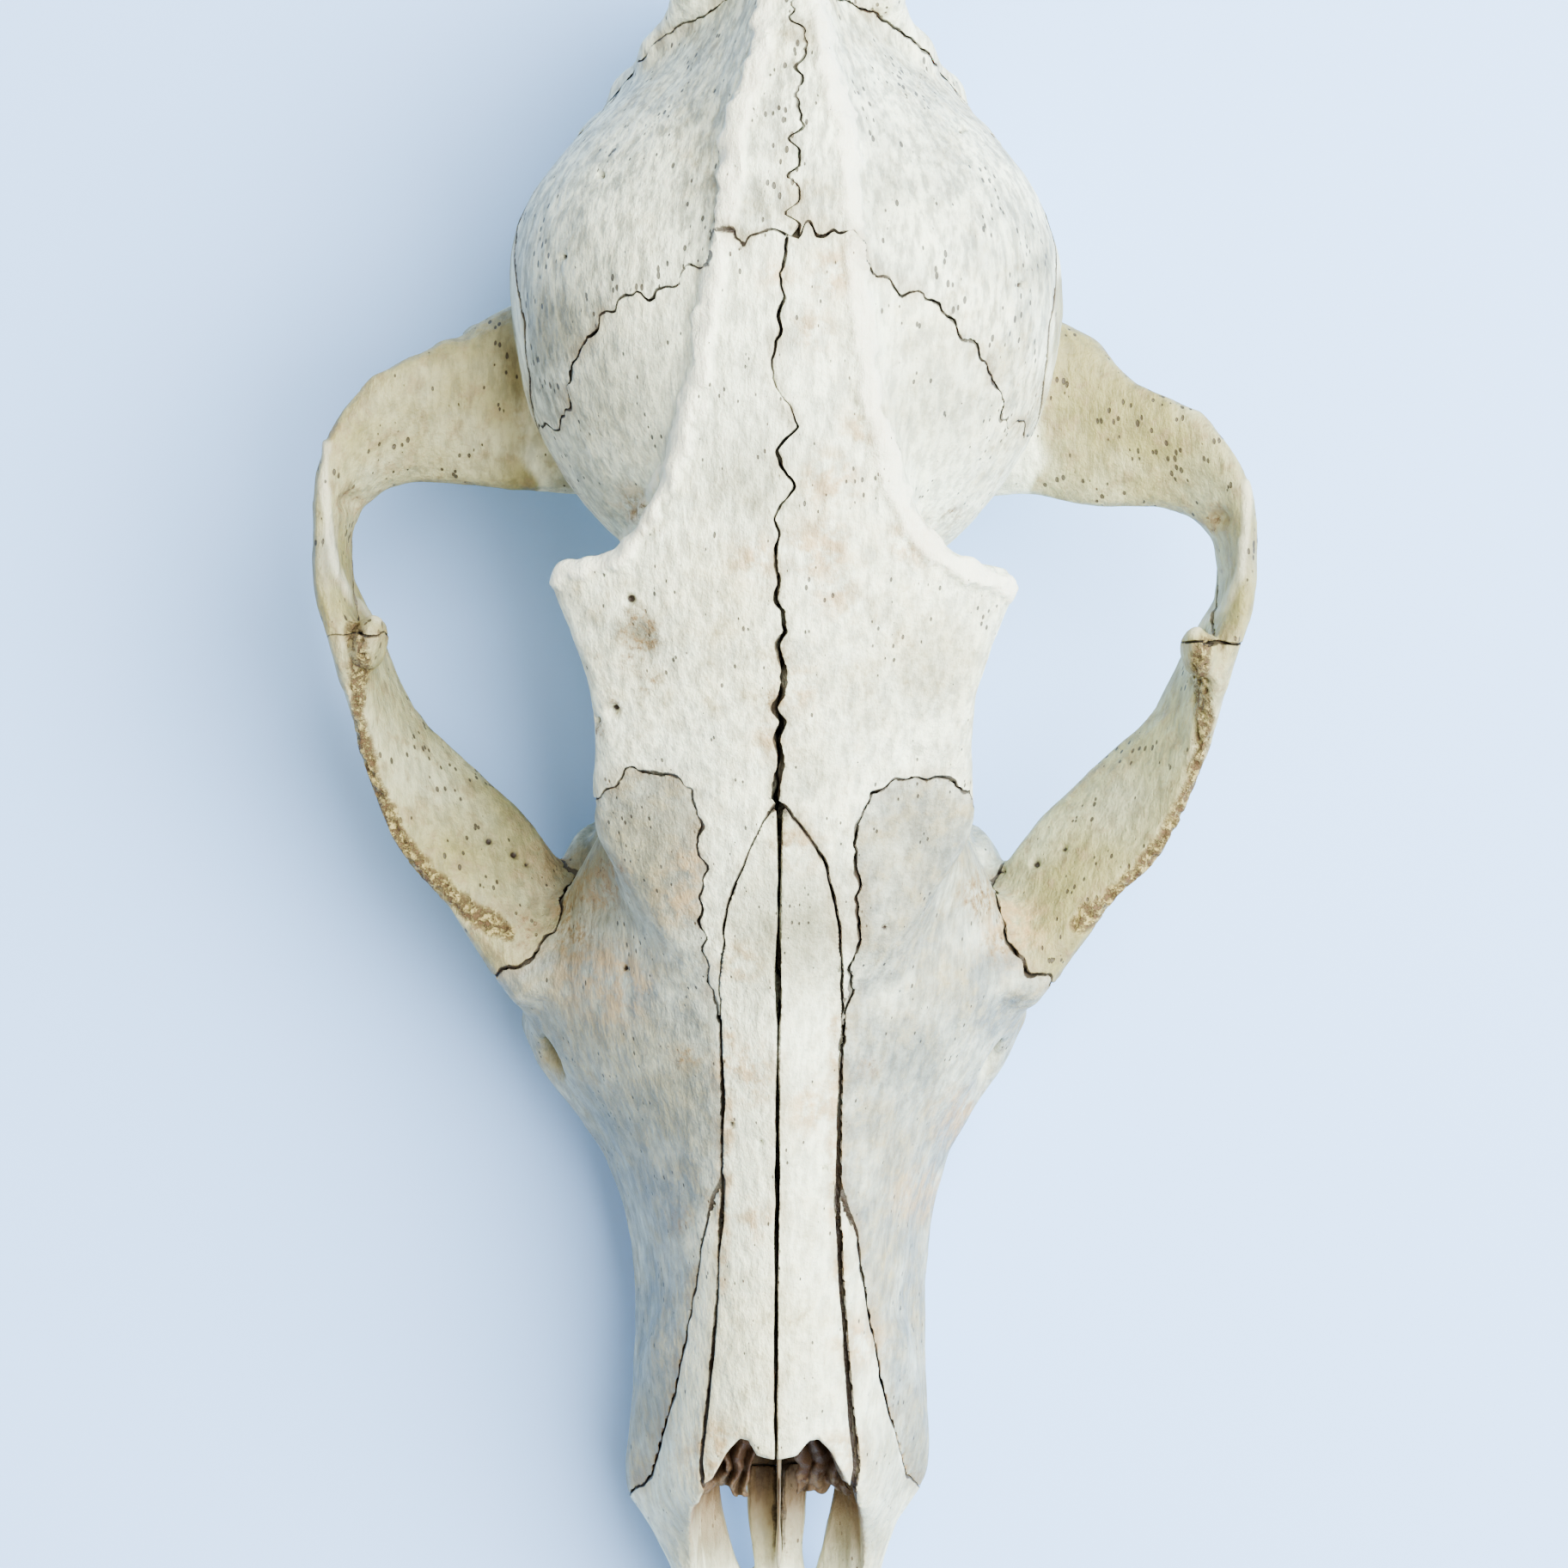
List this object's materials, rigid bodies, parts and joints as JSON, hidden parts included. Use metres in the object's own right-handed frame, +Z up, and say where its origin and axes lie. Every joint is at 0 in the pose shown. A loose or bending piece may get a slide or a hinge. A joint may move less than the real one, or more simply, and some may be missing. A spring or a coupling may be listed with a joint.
{
  "type": "fox skull",
  "caption": "Life-size fox cranium without lower jaw: long muzzle, cheek teeth, open nose, wide cheek arches and parted bones, lying on its teeth and ear capsules.",
  "frame": {"origin": "on the level that the skull rests on, under the middle of its length and width", "axes": "+X to the skull's right side, +Y towards the back of the head (the snout points to -Y), +Z up"},
  "size_m": [0.0769, 0.1468, 0.0497],
  "materials": {
    "bone": "matte ivory bone with pits and brown stains",
    "arch_bone": "matte creamy tan bone, porous along its edges",
    "inner_bone": "matte thin grey-brown bone"
  },
  "bodies": {
    "root": {"bulla_left": "bone", "bulla_right": "bone", "occipital": "bone", "nasal_left": "bone", "nasal_right": "bone", "premaxilla_left": "bone", "premaxilla_right": "bone", "frontal_left": "bone", "frontal_right": "bone", "parietal_left": "bone", "parietal_right": "bone", "temporal_left": "arch_bone", "temporal_right": "arch_bone", "zygomatic_left": "arch_bone", "zygomatic_right": "arch_bone", "maxilla_left": "bone", "maxilla_right": "bone", "skull_base": "bone", "vomer": "inner_bone"}
  },
  "joints": []
}
